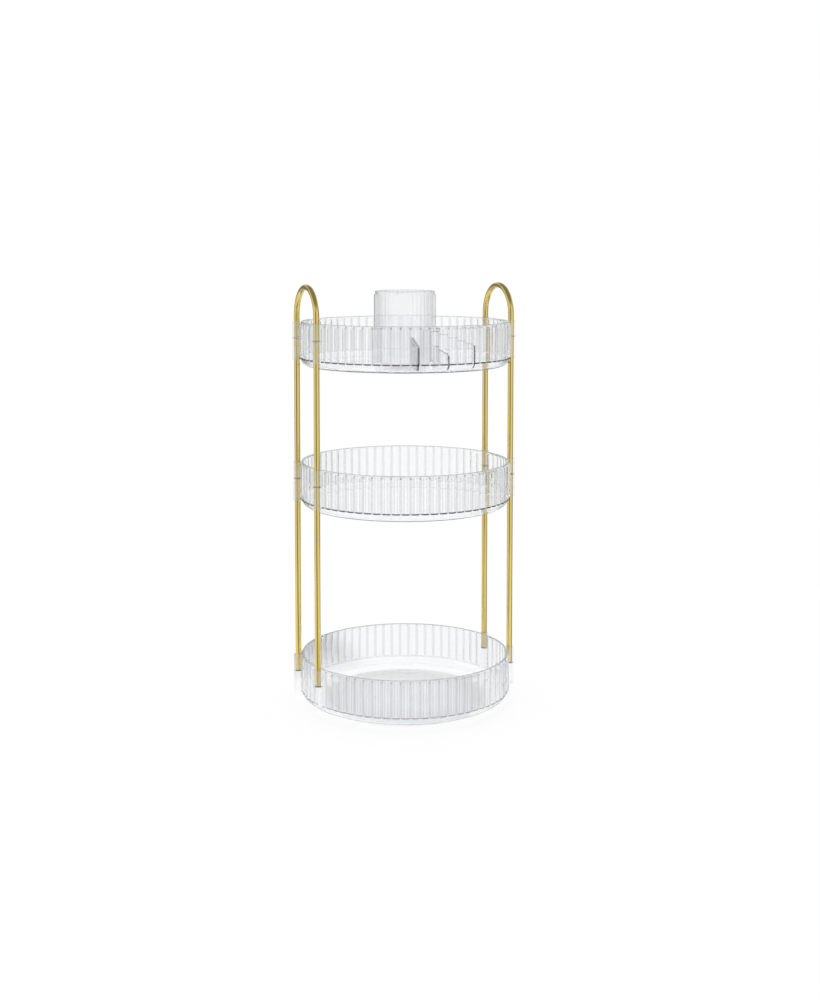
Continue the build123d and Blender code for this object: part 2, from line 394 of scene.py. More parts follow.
def grey(level):
    return (level - 0.007, level, level + 0.007, 1)


# Each pair gives a face seen square on, then a face at a long slant. The darker slant tones are partly
# swallowed light and partly painted shade; the near black foot and lip tones are painted outlines. The rib
# and cup tones seen from outside are painted darker than their tones for the inside.
plain_tone = (grey(0.955), grey(0.9))
floor_tone = (grey(0.975), grey(0.9))
sheet_tone = (grey(0.97), grey(0.55))
sleeve_tone = (grey(0.97), grey(0.6))
foot_tone = (grey(0.97), grey(0.12))
lip_tone = (grey(0.945), grey(0.1))
rib_tone = (grey(0.975), grey(0.28))
rib_tone_behind = (grey(0.99), grey(0.73))
cup_tone = (grey(0.955), grey(0.3))
cup_tone_behind = (grey(0.97), grey(0.84))
clear_plastic = clear_finish(
    "clear_plastic", plain_slant, plain_tone, plain_tone, clear=0.9, coat=0.25
)
clear_floor = clear_finish(
    "clear_floor", floor_slant, floor_tone, floor_tone, clear=0.9, coat=0.25
)
clear_sheet = clear_finish(
    "clear_sheet", sheet_slant, sheet_tone, sheet_tone, clear=0.95, coat=0.5
)
clear_sleeve = clear_finish(
    "clear_sleeve", sleeve_slant, sleeve_tone, sleeve_tone, clear=0.93, coat=0.2, bend=1.002
)
clear_foot = clear_finish(
    "clear_foot", foot_slant, foot_tone, foot_tone, clear=0.95, coat=0.6, bend=1.002
)
clear_lip = clear_finish("clear_lip", lip_slant, lip_tone, lip_tone, clear=0.9, coat=0.5)
ribbed_plastic = clear_finish(
    "ribbed_plastic", tray_painted_lines_and_slant, rib_tone, rib_tone_behind, clear=0.93, coat=1.0, bend=1.09
)
cup_plastic = clear_finish(
    "cup_plastic", cup_painted_lines_and_slant, cup_tone, cup_tone_behind, clear=0.9, coat=1.0
)
plain_finishes = (clear_plastic, clear_floor, clear_sheet, clear_sleeve, clear_foot, clear_lip)
print("finishes:", [finish.name for finish in (*plain_finishes, ribbed_plastic, cup_plastic)])

# %% [markdown]
# ## Edges of the plastic
# Where a moulding ends in a thin edge, light that entered elsewhere is trapped and the edge turns dark: the
# flat lower ends of the ribs, the rim, the turn of the foot, the sawn edges of the dividers and the web in a
# sleeve. A ray would need dozens of turns to show that, so those narrow faces get painted shade instead: a
# darkened version of the same plastic. Seen from inside the plastic they stay clear, apart from the web,
# whose painted shade is brown both ways.


# %% Mix the painted edge shade
def painted_edge_shade(name, dark, light, clear, inside=grey(0.95)):
    material, tree, shader = start_finish(name)
    skin = shared(tree, moulded_skin, Wave_Scale=120.0, Grain_Scale=900.0)
    behind = put(tree, "ShaderNodeNewGeometry").outputs["Backfacing"]
    tone = mix(tree, behind, mix(tree, skin.outputs["Haze"], dark, light), inside)
    tree.links.new(tone, shader.inputs["Base Color"])
    shader.inputs["Transmission Weight"].default_value = clear
    shader.inputs["IOR"].default_value = 1.03
    gloss = put(tree, "ShaderNodeMapRange", _0=skin.outputs["Grain"], _3=0.05, _4=0.15)
    tree.links.new(gloss.outputs["Result"], shader.inputs["Roughness"])
    return material


# Painted shade on each narrow face: near black under the ribs and on the divider ends, dark at the turn of
# the foot and on the sloped divider edges, grey on the rim, its teeth and the sleeve's band at the web,
# paler on the bottom tray, and brown at the web.
rib_end = painted_edge_shade("rib_end", grey(0.06), grey(0.1), 0.4)
pale_rib_end = painted_edge_shade("pale_rib_end", grey(0.34), grey(0.44), 0.5)
rim_line = painted_edge_shade("rim_line", grey(0.46), grey(0.56), 0.4)
rim_tooth = painted_edge_shade("rim_tooth", grey(0.42), grey(0.5), 0.4)
foot_line = painted_edge_shade("foot_line", grey(0.16), grey(0.24), 0.3)
pale_foot_line = painted_edge_shade("pale_foot_line", grey(0.82), grey(0.88), 0.6)
sawn_edge = painted_edge_shade("sawn_edge", grey(0.012), grey(0.02), 0.0)
sloped_edge = painted_edge_shade("sloped_edge", grey(0.25), grey(0.32), 0.4)
web_band = painted_edge_shade("web_band", grey(0.42), grey(0.5), 0.6)
web_shade_brown = (0.14, 0.12, 0.08, 1)
socket_web = painted_edge_shade("socket_web", (0.1, 0.08, 0.05, 1), web_shade_brown, 0.3, web_shade_brown)
print("edges:", rib_end.name, rim_line.name, foot_line.name, sawn_edge.name, socket_web.name)

# %% [markdown]
# ## Gold tube
# The tubes are thin metal with a pale gold plating, bright but not a mirror. The lines of the drawn
# tube show as a faint change of gloss along its length, and the plating is a little deeper in
# colour in places.

# %% Mix the gold
gold_tube, tree, shader = start_finish("gold_tube")
drawn = shared(tree, drawn_metal, Line_Scale=900.0, Cloud_Scale=35.0)
tone = mix(tree, drawn.outputs["Clouds"], (0.72, 0.55, 0.14, 1), (0.8, 0.63, 0.18, 1))
tree.links.new(tone, shader.inputs["Base Color"])
shader.inputs["Metallic"].default_value = 1.0
shader.inputs["Coat Weight"].default_value = 0.6
shader.inputs["Coat IOR"].default_value = 1.8
shader.inputs["Coat Roughness"].default_value = 0.1
gloss = put(tree, "ShaderNodeMapRange", _0=drawn.outputs["Lines"], _3=0.12, _4=0.15)
tree.links.new(gloss.outputs["Result"], shader.inputs["Roughness"])
scratch = put(tree, "ShaderNodeBump", Height=drawn.outputs["Lines"], Strength=0.003, Distance=0.0001)
tree.links.new(scratch.outputs["Normal"], shader.inputs["Normal"])
print("finish:", gold_tube.name)

# %% [markdown]
# ## Ribbed mouldings
# A tray is a shallow round dish whose wall is a row of half-round ribs. It could be a lathe profile
# with bumps cut into it. Here it grows as a potter would raise it: a disc is extruded ring by ring
# along the profile, and on the ribbed rings each column of points is scaled out to its own place on
# the rib. The ribs then keep a sharp valley, a flat lower face and a sloped head under the plain
# lip, just where the engineering model has them.


# %% Pick points and raise a ring
def only(obj):
    if bpy.context.object and bpy.context.object.mode != "OBJECT":
        bpy.ops.object.mode_set(mode="OBJECT")
    bpy.ops.object.select_all(action="DESELECT")
    obj.select_set(True)
    bpy.context.view_layer.objects.active = obj


def pick(obj, members):
    shape = bmesh.from_edit_mesh(obj.data)
    shape.select_mode = {"VERT"}
    for part in (*shape.faces, *shape.edges, *shape.verts):
        part.select = False
    shape.verts.ensure_lookup_table()
    for member in members:
        shape.verts[member].select = True
    shape.select_flush_mode()
    bmesh.update_edit_mesh(obj.data)


def picked(obj):
    shape = bmesh.from_edit_mesh(obj.data)
    shape.verts.index_update()
    return [(v.index, v.co.copy()) for v in shape.verts if v.select]


def raise_ring(radius_now, radius, rise):
    bpy.ops.mesh.extrude_region_move(TRANSFORM_OT_translate={"value": (0, 0, rise)})
    share = radius / radius_now
    bpy.ops.transform.resize(value=(share, share, 1), center_override=(0, 0, 0))


def place_columns(obj, columns, turns, place):
    ring = picked(obj)
    groups = {}
    for index, co in ring:
        column = round(atan2(co.y, co.x) / (2 * pi) * turns) % columns
        groups.setdefault(min(column, columns - column), []).append((index, co))
    for column, members in groups.items():
        radius, level = place(column)
        co = members[0][1]
        share = radius / sqrt(co.x**2 + co.y**2)
        pick(obj, [m[0] for m in members])
        bpy.ops.transform.resize(value=(share, share, 1), center_override=(0, 0, 0))
        bpy.ops.transform.translate(value=(0, 0, level - co.z))
    pick(obj, [m[0] for m in ring])


# %% Model a ribbed vessel
def ribbed_vessel(name, crest, rib_depth, rib_root, ribs, height, wall, foot_round, lip_band, shoulder):
    columns = 12
    steps = 10
    lip = crest - rib_depth - rib_root
    valley = crest - rib_depth
    rib_top = height - lip_band
    half_pitch = pi / ribs
    flank = valley * sin(half_pitch)
    rise = crest - valley * cos(half_pitch)
    bow = (flank**2 + rise**2) / (2 * rise)
    bow_centre = crest - bow

    def rib(column):
        away = half_pitch * (1 - 2 * column / columns)
        return bow_centre * cos(away) + sqrt(bow**2 - (bow_centre * sin(away)) ** 2)

    def head(column):
        return rib_top - shoulder * (rib(column) - lip) / (crest - lip)

    def slope(column):
        return lip + (crest - lip) * (rib_top - head(column) - eased_edge / 2) / shoulder

    bpy.ops.mesh.primitive_circle_add(
        vertices=ribs * columns, radius=lip - foot_round, fill_type="NGON", location=(0, 0, lift)
    )
    obj = bpy.context.object
    obj.name = name
    bpy.ops.object.transform_apply(location=True)
    bpy.ops.object.mode_set(mode="EDIT")
    bpy.ops.mesh.select_all(action="SELECT")
    here = [lip - foot_round, lift]

    def ring(radius, level):
        raise_ring(here[0], radius, level - here[1])
        here[:] = [radius, level]

    def ribbed_ring(place):
        ring(lip, foot_round)
        place_columns(obj, columns, ribs * columns, place)

    for step in range(1, steps + 1):
        turn = pi / 2 * step / steps
        level = foot_round - foot_round * cos(turn) + lift * cos(turn)
        ring(lip - foot_round + foot_round * sin(turn), level)
    ribbed_ring(lambda c: (rib(c) - eased_edge, foot_round))
    ribbed_ring(lambda c: (rib(c), foot_round + eased_edge))
    ribbed_ring(lambda c: (rib(c), foot_round + rib_end_height))
    ribbed_ring(lambda c: (rib(c), head(c) - tooth_height))
    ribbed_ring(lambda c: (rib(c), head(c) - eased_edge))
    ribbed_ring(lambda c: (slope(c), head(c) + eased_edge / 2))
    ribbed_ring(lambda c: (lip, rib_top))
    here[:] = [lip, rib_top]
    ring(lip, height - lip_bevel)
    for turn in (pi / 6, pi / 3, pi / 2):
        ring(lip - lip_bevel + lip_bevel * cos(turn), height - lip_bevel + lip_bevel * sin(turn))
    for turn in (pi / 2, pi / 3, pi / 6, 0):
        ring(lip - wall + lip_bevel - lip_bevel * cos(turn), height - lip_bevel + lip_bevel * sin(turn))
    inner = lip - wall
    corner = foot_round - wall
    ring(inner, foot_round)
    for step in range(1, steps + 1):
        turn = pi / 2 * step / steps
        ring(inner - corner + corner * cos(turn), foot_round - corner * sin(turn))
    bpy.ops.mesh.select_all(action="SELECT")
    bpy.ops.mesh.remove_doubles(threshold=0.00001)
    bpy.ops.mesh.normals_make_consistent(inside=False)
    bpy.ops.object.mode_set(mode="OBJECT")
    return obj


only(camera)
tray = ribbed_vessel(
    "tray",
    tray_crest,
    tray_rib_depth,
    tray_rib_root,
    tray_ribs,
    tray_height,
    tray_wall,
    tray_foot_round,
    tray_lip_band,
    tray_rib_shoulder,
)
print("dish faces:", len(tray.data.polygons))

# %% [markdown]
# ## Sleeves for the tubes
# Four clear sleeves stand on the outside of each tray's wall. A tube drops into the sleeve from
# above, another comes up from below, and a web between them carries the load. Solid pillars with
# rounded ends are joined to the dish, and the sockets are then cut from both ends, so that the
# plastic is one body with no faces left inside it.


# %% Join the sleeves to the dish
def pillars(name, radius, bottom, top, bevel, cuts):
    made = []
    for x, y in corners.values():
        bpy.ops.object.select_all(action="DESELECT")
        bpy.ops.mesh.primitive_cylinder_add(
            vertices=64, radius=radius, depth=top - bottom, location=(x, y, (top + bottom) / 2)
        )
        pillar = bpy.context.object
        bpy.ops.object.transform_apply(location=True)
        bpy.ops.object.mode_set(mode="EDIT")
        bpy.ops.mesh.select_all(action="DESELECT")
        shape = bmesh.from_edit_mesh(pillar.data)
        for face in shape.faces:
            if abs(face.normal.z) > 0.9:
                for rim in face.edges:
                    rim.select = True
        bmesh.update_edit_mesh(pillar.data)
        bpy.ops.mesh.bevel(offset=bevel, segments=3, affect="EDGES")
        for cut in cuts:
            bpy.ops.mesh.select_all(action="SELECT")
            bpy.ops.mesh.bisect(plane_co=(0, 0, cut), plane_no=(0, 0, 1))
        bpy.ops.object.mode_set(mode="OBJECT")
        made.append(pillar)
    bpy.ops.object.select_all(action="DESELECT")
    for pillar in made:
        pillar.select_set(True)
    bpy.context.view_layer.objects.active = made[0]
    bpy.ops.object.join()
    joined = bpy.context.object
    joined.name = name
    return joined


def combine(obj, tool, operation):
    only(obj)
    bpy.ops.object.modifier_add(type="BOOLEAN")
    modifier = obj.modifiers[-1]
    modifier.operation = operation
    modifier.solver = "EXACT"
    modifier.object = tool
    bpy.ops.object.modifier_apply(modifier=modifier.name)
    bpy.data.objects.remove(tool)


web_cuts = (web_low, web_high)
upper_cuts = (web_high + web_collar,)
lower_cuts = (web_low - web_collar,)
sockets_top = tray_height + overrun
sockets_bottom = sleeve_bottom - overrun
sleeves = pillars("sleeves", sleeve_radius, sleeve_bottom, tray_height, sleeve_bevel, web_cuts)
combine(tray, sleeves, "UNION")
upper_sockets = pillars("upper_sockets", socket_radius, web_high, sockets_top, socket_bevel, upper_cuts)
combine(tray, upper_sockets, "DIFFERENCE")
lower_sockets = pillars("lower_sockets", socket_radius, sockets_bottom, web_low, socket_bevel, lower_cuts)
combine(tray, lower_sockets, "DIFFERENCE")
print("tray faces:", len(tray.data.polygons))

# %% [markdown]
# ## Three trays from one moulding
# All three trays are taken to come from the same mould, so the finished dish is copied, and each copy keeps
# its own mesh at its own level. The trays, the tubes and the dividers turn together on the bearing, so they
# ride on the body that turns. Each zone of a tray gets its finish by where its faces lie: ribs and their
# ends, foot, floor, lip, rim and teeth, sleeves and webs. The rib ends, the turn of the foot, the rim, the
# teeth, the band at the web and the web itself take painted shade.


# %% Dress and paint a piece
def dress(obj, material, slot, body, *nodes):
    obj.data.materials.clear()
    obj.data.materials.append(material)
    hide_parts(*nodes)
    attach(obj, body)


def paint(obj, material, belongs):
    only(obj)
    obj.data.materials.append(material)
    obj.active_material_index = len(obj.data.materials) - 1
    bpy.ops.object.mode_set(mode="EDIT")
    bpy.ops.mesh.select_mode(type="FACE")
    bpy.ops.mesh.select_all(action="DESELECT")
    shape = bmesh.from_edit_mesh(obj.data)
    for face in shape.faces:
        face.select = belongs(face.calc_center_median(), face.normal)
    bmesh.update_edit_mesh(obj.data)
    bpy.ops.object.material_slot_assign()
    bpy.ops.mesh.select_mode(type="VERT")
    bpy.ops.object.mode_set(mode="OBJECT")


def from_post(place):
    return min(sqrt((place.x - x) ** 2 + (place.y - y) ** 2) for x, y in corners.values())


def from_axis(place):
    return sqrt(place.x**2 + place.y**2)


def in_valley(place):
    share = atan2(place.y, place.x) / (2 * pi) * tray_ribs % 1
    return not 0.1 < share < 0.9


def smooth(obj, angle):
    only(obj)
    bpy.ops.object.shade_smooth_by_angle(angle=radians(angle))


# %% Say which zone of a tray a face lies in
def on_dish(place):
    return from_post(place) > sleeve_radius + 2 * slack


def on_ribs(place, level):
    above = place.z > level + tray_foot_round - slack
    return above and from_axis(place) > tray_lip + slack and on_dish(place)


def on_foot(place, level):
    return place.z < level + tray_foot_round - slack and on_dish(place)


def on_foot_turn(place, normal, level):
    outside_floor = from_axis(place) > tray_lip - tray_foot_round + slack
    return on_foot(place, level) and normal.z < -0.8 and outside_floor


def on_floor(place, normal, level):
    low = place.z < level + tray_wall + slack
    return normal.z > 0.9 and low and from_axis(place) < tray_lip - tray_foot_round


def on_rib_ends(place, level):
    below = place.z < level + tray_foot_round + rib_end_height
    above = place.z > level + tray_foot_round - slack
    outside = from_axis(place) > tray_lip - slack and on_dish(place)
    return below and above and outside and not in_valley(place)


def on_lip(place, level):
    above = place.z > level + tray_height - tray_lip_band - slack
    return above and from_axis(place) < tray_lip + 2 * slack and on_dish(place)


def on_rim(place, level):
    above = place.z > level + tray_height - lip_bevel + slack
    return above and from_axis(place) < tray_lip + 2 * slack and on_dish(place)


def on_teeth(place, level):
    rib_top = level + tray_height - tray_lip_band
    between = rib_top - 2 * eased_edge - tooth_height < place.z < rib_top - 4 * slack
    return between and on_ribs(place, level) and in_valley(place)


# The web and a thin collar of socket wall on each side of it take brown painted shade; the band of sleeve
# wall level with the web takes grey painted shade.
def on_web(place, level):
    between = level + web_low - web_collar < place.z < level + web_high + web_collar
    return between and from_post(place) < socket_radius + 3 * slack


def on_web_band(place, level):
    return level + web_low < place.z < level + web_high and not on_dish(place)


# %% Copy the tray to its three levels
smooth(tray, 30)
for node, level in tray_levels.items():
    only(tray)
    bpy.ops.object.duplicate(linked=False)
    copy = bpy.context.object
    copy.name = "clear_" + node
    bpy.ops.transform.translate(value=(0, 0, level))
    bpy.ops.object.transform_apply(location=True)
    dress(copy, clear_plastic, "clear_plastic", "organizer", node)
    paint(copy, ribbed_plastic, lambda place, normal: on_ribs(place, level))
    paint(copy, clear_foot, lambda place, normal: on_foot(place, level))
    paint(copy, clear_floor, lambda place, normal: on_floor(place, normal, level))
    # The bottom tray's foot turn and rib ends take paler painted shade than the trays above.
    turn_line = pale_foot_line if node == "bottom_tray" else foot_line
    paint(copy, turn_line, lambda place, normal: on_foot_turn(place, normal, level))
    end_line = pale_rib_end if node == "bottom_tray" else rib_end
    paint(copy, end_line, lambda place, normal: on_rib_ends(place, level))
    paint(copy, clear_lip, lambda place, normal: on_lip(place, level))
    paint(copy, rim_line, lambda place, normal: on_rim(place, level))
    paint(copy, rim_tooth, lambda place, normal: on_teeth(place, level))
    paint(copy, clear_sleeve, lambda place, normal: not on_dish(place))
    paint(copy, web_band, lambda place, normal: on_web_band(place, level))
    paint(copy, socket_web, lambda place, normal: on_web(place, level))
    print(copy.name, "from", round(level / mm, 1), "to", round((level + tray_height) / mm, 1))
bpy.data.objects.remove(tray)

# %% [markdown]
# ## Brush cup
# The cup is the same kind of moulding as a tray, only tall and narrow, with forty finer ribs. It
# stands loose in the middle of the top tray, so it rides on a body of its own that can be lifted
# out.

# %% Model the cup
cup = ribbed_vessel(
    "clear_cup",
    cup_crest,
    cup_rib_depth,
    cup_rib_root,
    cup_ribs,
    cup_height,
    cup_wall,
    cup_foot_round,
    cup_lip_band,
    cup_rib_shoulder,
)
smooth(cup, 30)
bpy.ops.transform.translate(value=(0, 0, top_floor))
bpy.ops.object.transform_apply(location=True)
dress(cup, clear_plastic, "clear_plastic", "cup", "brush_cup")
ribs_low = top_floor + cup_foot_round + 2 * slack
rim_low = top_floor + cup_height - lip_bevel + slack
paint(cup, cup_plastic, lambda place, normal: place.z > ribs_low and from_axis(place) > cup_lip - slack)
# The cup's rim takes the rim's painted shade.
paint(cup, rim_line, lambda place, normal: place.z > rim_low)
print("cup faces:", len(cup.data.polygons))

# %% [markdown]
# ## Dividers
# Three clear plates fan out from the cup to the front of the top tray. Each is sawn from sheet: a flat
# blank, cut along a slope at the top, rounded at the corner that sits in the tray's own rounding, and then
# eased along all its edges. The dark lines along those edges are painted shade: grey on the top, the inner
# end and the corner, near black on the outer end.


# %% Cut a plate
def divider(name, heading, inner, inner_height, outer_height):
    bpy.ops.object.select_all(action="DESELECT")
    middle = ((inner + divider_outer) / 2, 0, (inner_height + lift) / 2)
    bpy.ops.mesh.primitive_cube_add(size=1, location=middle)
    plate = bpy.context.object
    plate.name = name
    plate.scale = (divider_outer - inner, divider_thickness, inner_height - lift)
    bpy.ops.object.transform_apply(location=True, scale=True)
    bpy.ops.object.mode_set(mode="EDIT")
    bpy.ops.mesh.select_all(action="SELECT")
    bpy.ops.mesh.bisect(
        plane_co=(inner, 0, inner_height),
        plane_no=(inner_height - outer_height, 0, divider_outer - inner),
        clear_outer=True,
        use_fill=True,
    )
    bpy.ops.mesh.select_all(action="DESELECT")
    shape = bmesh.from_edit_mesh(plate.data)
    for rim in shape.edges:
        rim.select = all(v.co.x > divider_outer - slack and v.co.z < lift + slack for v in rim.verts)
    bmesh.update_edit_mesh(plate.data)
    bpy.ops.mesh.bevel(offset=divider_corner, segments=8, affect="EDGES")
    bpy.ops.mesh.select_all(action="DESELECT")
    shape = bmesh.from_edit_mesh(plate.data)
    for rim in shape.edges:
        rim.select = abs(rim.verts[0].co.y - rim.verts[1].co.y) < slack
    bmesh.update_edit_mesh(plate.data)
    bpy.ops.mesh.bevel(offset=eased_edge, segments=2, affect="EDGES")
    bpy.ops.mesh.select_all(action="SELECT")
    bpy.ops.mesh.normals_make_consistent(inside=False)
    bpy.ops.object.mode_set(mode="OBJECT")
    smooth(plate, 30)
    plate.rotation_euler = (0, 0, heading)
    plate.location = (0, 0, top_floor)
    bpy.ops.object.transform_apply(location=True, rotation=True)
    return plate


# %% Cut the three plates
plates = {
    "left_divider": (divider_heading - divider_spread, long_inner, long_inner_height, long_outer_height),
    "centre_divider": (divider_heading, short_inner, short_inner_height, short_outer_height),
    "right_divider": (divider_heading + divider_spread, long_inner, long_inner_height, long_outer_height),
}
for node, (heading_degrees, inner, inner_height, outer_height) in plates.items():
    heading = radians(heading_degrees)
    plate = divider("clear_" + node, heading, inner, inner_height, outer_height)
    dress(plate, clear_sheet, "clear_plastic", "organizer", node)
    across = Vector((sin(heading), -cos(heading), 0))
    outward = Vector((cos(heading), sin(heading), 0))
    sides_low = top_floor + lift + eased_edge
    # Painted shade: grey on the faces that do not face sideways, near black on the outer end.
    paint(plate, sloped_edge, lambda place, normal: abs(normal.dot(across)) < 0.5 and place.z > sides_low)
    paint(plate, sawn_edge, lambda place, normal: normal.dot(outward) > 0.6)
    print(plate.name, "faces:", len(plate.data.polygons))

# %% [markdown]
# ## Tubes and hoops
# The tubes are thin-walled, so a straight tube is an open cylinder that is then given its wall. A
# hoop is bent from one length: a leg is drawn up, the open ring of points is spun half a turn over
# the top, and the second leg goes down again. The fine division keeps the reflections on the bend
# smooth.


# %% Draw the straight tubes
def give_wall(obj):
    only(obj)
    bpy.ops.object.mode_set(mode="EDIT")
    bpy.ops.mesh.select_all(action="SELECT")
    bpy.ops.mesh.remove_doubles(threshold=0.00001)
    bpy.ops.mesh.normals_make_consistent(inside=False)
    bpy.ops.object.mode_set(mode="OBJECT")
    bpy.ops.object.modifier_add(type="SOLIDIFY")
    modifier = obj.modifiers[-1]
    modifier.thickness = tube_wall
    modifier.offset = -1
    bpy.ops.object.modifier_apply(modifier=modifier.name)
    smooth(obj, 40)


storeys = {"lower_post": ("bottom_tray", "middle_tray"), "upper_post": ("middle_tray", "top_tray")}
for storey, (below, above) in storeys.items():
    low = tray_levels[below] + web_high
    high = tray_levels[above] + web_low
    for corner, (x, y) in corners.items():
        bpy.ops.object.select_all(action="DESELECT")
        bpy.ops.mesh.primitive_cylinder_add(
            vertices=64,
            radius=tube_radius,
            depth=high - low,
            end_fill_type="NOTHING",
            location=(x, y, (low + high) / 2),
        )
        tube = bpy.context.object
        tube.name = f"gold_{storey}_{corner}"
        bpy.ops.object.transform_apply(location=True)
        give_wall(tube)
        dress(tube, gold_tube, "gold_tube", "organizer", f"{storey}_{corner}")
    print(storey, "length", round((high - low) / mm, 1))


# %% Bend the two hoops
def hoop(name, x, low, bow_start):
    bpy.ops.object.select_all(action="DESELECT")
    bpy.ops.mesh.primitive_circle_add(
        vertices=64, radius=tube_radius, fill_type="NOTHING", location=(x, -post_y, low)
    )
    bow = bpy.context.object
    bow.name = name
    bpy.ops.object.transform_apply(location=True)
    bpy.ops.object.mode_set(mode="EDIT")
    bpy.ops.mesh.select_all(action="SELECT")
    bpy.ops.mesh.extrude_region_move(TRANSFORM_OT_translate={"value": (0, 0, bow_start - low)})
    bpy.ops.mesh.spin(steps=72, angle=pi, center=(x, 0, bow_start), axis=(1, 0, 0))
    bpy.ops.mesh.extrude_region_move(TRANSFORM_OT_translate={"value": (0, 0, low - bow_start)})
    bpy.ops.object.mode_set(mode="OBJECT")
    give_wall(bow)
    return bow


leg_low = tray_levels["top_tray"] + web_high
bow_start = tray_levels["top_tray"] + tray_height + handle_leg
for side, x in {"left": -post_x, "right": post_x}.items():
    bow = hoop(f"gold_{side}_hoop", x, leg_low, bow_start)
    dress(bow, gold_tube, "gold_tube", "organizer", f"{side}_handle")
    print(bow.name, "top", round(max(v.co.z for v in bow.data.vertices) / mm, 2))

# %% [markdown]
# ## Turntable and its small parts
# The engineering solids of the turntable have the right shape, so they stay and only get finishes.
# The plate's outer band is a little darker than its middle, as the picture shows it, and the middle fades
# darker towards the band: painted shade. Its outer side is painted white against the shade it stands in
# under the tray, a painted light. The other parts are hidden under it, but each still gets the finish of its
# real material.

# %% Finish the turntable plate
band_inner = 72 * mm
plate_edge = 88 * mm
middle_start = 0.6 * band_inner
turntable_grey, tree, shader = start_finish("turntable_grey")
skin = shared(tree, moulded_skin, Wave_Scale=30.0, Grain_Scale=3000.0)
where = put(tree, "ShaderNodeTexCoord").outputs["Object"]
flat = put(tree, "ShaderNodeVectorMath", {"operation": "MULTIPLY"}, _0=where, _1=(1, 1, 0)).outputs["Vector"]
reach = put(tree, "ShaderNodeVectorMath", {"operation": "LENGTH"}, _0=flat).outputs["Value"]
band = ease(tree, reach, band_inner - eased_edge, band_inner + eased_edge)
# Painted shade: the plate is lighter in the middle and fades darker towards the band.
middle = ease(tree, reach, middle_start, band_inner)
inside = mix(tree, middle, (0.96, 0.965, 0.97, 1), (0.87, 0.875, 0.88, 1))
zone = mix(tree, band, inside, (0.85, 0.855, 0.86, 1))
# Painted light: the outer side is painted white against the shade it stands in under the tray.
rim = ease(tree, reach, plate_edge - eased_edge, plate_edge - slack)
cloudy = mix(tree, skin.outputs["Haze"], zone, mix(tree, 0.9, (0, 0, 0, 1), zone))
tree.links.new(mix(tree, rim, cloudy, (0.92, 0.92, 0.92, 1)), shader.inputs["Base Color"])
gloss = put(tree, "ShaderNodeMapRange", _0=skin.outputs["Grain"], _3=0.35, _4=0.55)
tree.links.new(gloss.outputs["Result"], shader.inputs["Roughness"])
texture = put(tree, "ShaderNodeBump", Height=skin.outputs["Grain"], Strength=0.15, Distance=0.0002)
tree.links.new(texture.outputs["Normal"], shader.inputs["Normal"])
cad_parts["turntable_plate"].data.materials.clear()
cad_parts["turntable_plate"].data.materials.append(turntable_grey)
print("finish:", turntable_grey.name)


# %% Finish the base, the cage, the feet and the steel parts
def plain_moulding(name, dark, light, rough):
    material, tree, shader = start_finish(name)
    skin = shared(tree, moulded_skin, Wave_Scale=60.0, Grain_Scale=2500.0)
    tree.links.new(mix(tree, skin.outputs["Haze"], dark, light), shader.inputs["Base Color"])
    gloss = put(tree, "ShaderNodeMapRange", _0=skin.outputs["Grain"], _3=rough - 0.1, _4=rough + 0.1)
    tree.links.new(gloss.outputs["Result"], shader.inputs["Roughness"])
    texture = put(tree, "ShaderNodeBump", Height=skin.outputs["Grain"], Strength=0.2, Distance=0.0002)
    tree.links.new(texture.outputs["Normal"], shader.inputs["Normal"])
    return material


def plain_steel(name, dark, light, rough):
    material, tree, shader = start_finish(name)
    drawn = shared(tree, drawn_metal, Line_Scale=1500.0, Cloud_Scale=200.0)
    tree.links.new(mix(tree, drawn.outputs["Clouds"], dark, light), shader.inputs["Base Color"])
    shader.inputs["Metallic"].default_value = 1.0
    gloss = put(tree, "ShaderNodeMapRange", _0=drawn.outputs["Lines"], _3=rough - 0.08, _4=rough + 0.08)
    tree.links.new(gloss.outputs["Result"], shader.inputs["Roughness"])
    return material


small_parts = {
    "turntable_base": plain_moulding("base_white", (0.92, 0.92, 0.92, 1), (0.96, 0.96, 0.96, 1), 0.45),
    "ball_cage": plain_moulding("cage_white", (0.62, 0.61, 0.58, 1), (0.72, 0.71, 0.68, 1), 0.5),
    "base_feet": plain_moulding("foot_rubber", (0.05, 0.05, 0.052, 1), (0.09, 0.09, 0.092, 1), 0.75),
    "bearing_balls": plain_steel("bearing_steel", (0.55, 0.55, 0.56, 1), (0.64, 0.64, 0.65, 1), 0.15),
    "pivot_washer": plain_steel("zinc_washer", (0.5, 0.51, 0.52, 1), (0.62, 0.62, 0.62, 1), 0.35),
    "pivot_screw": plain_steel("zinc_screw", (0.48, 0.49, 0.5, 1), (0.6, 0.6, 0.61, 1), 0.3),
}
for node, material in small_parts.items():
    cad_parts[node].data.materials.clear()
    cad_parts[node].data.materials.append(material)
print("small parts:", list(small_parts))

# %% [markdown]
# ## Floor, studio and light
# The object stands on a white table in a white studio. The floor is a plain white surface. Near the object
# it keeps a faint soft shadow, and further out it melts into the room, which is white for the camera. What
# the plastic and the gold mirror is the rest of the room: bright panels all round with narrow darker gaps
# between them, as in a studio with soft boxes, and three dark cards, one of them on the front left, which
# draw the dark lines down each tube. Near the object the floor carries those cards as painted shade that
# only reflections see.

# %% Say where the dark cards stand
card_count = 3.0
card_turn = pi + radians(42.9)


def card_share(tree, axes):
    turn = reckon(tree, "ARCTAN2", axes["X"], axes["Y"])
    away = reckon(tree, "SUBTRACT", turn, card_turn)
    spread = reckon(tree, "COSINE", reckon(tree, "MULTIPLY", away, card_count))
    return ease(tree, spread, 0.25, 0.8)


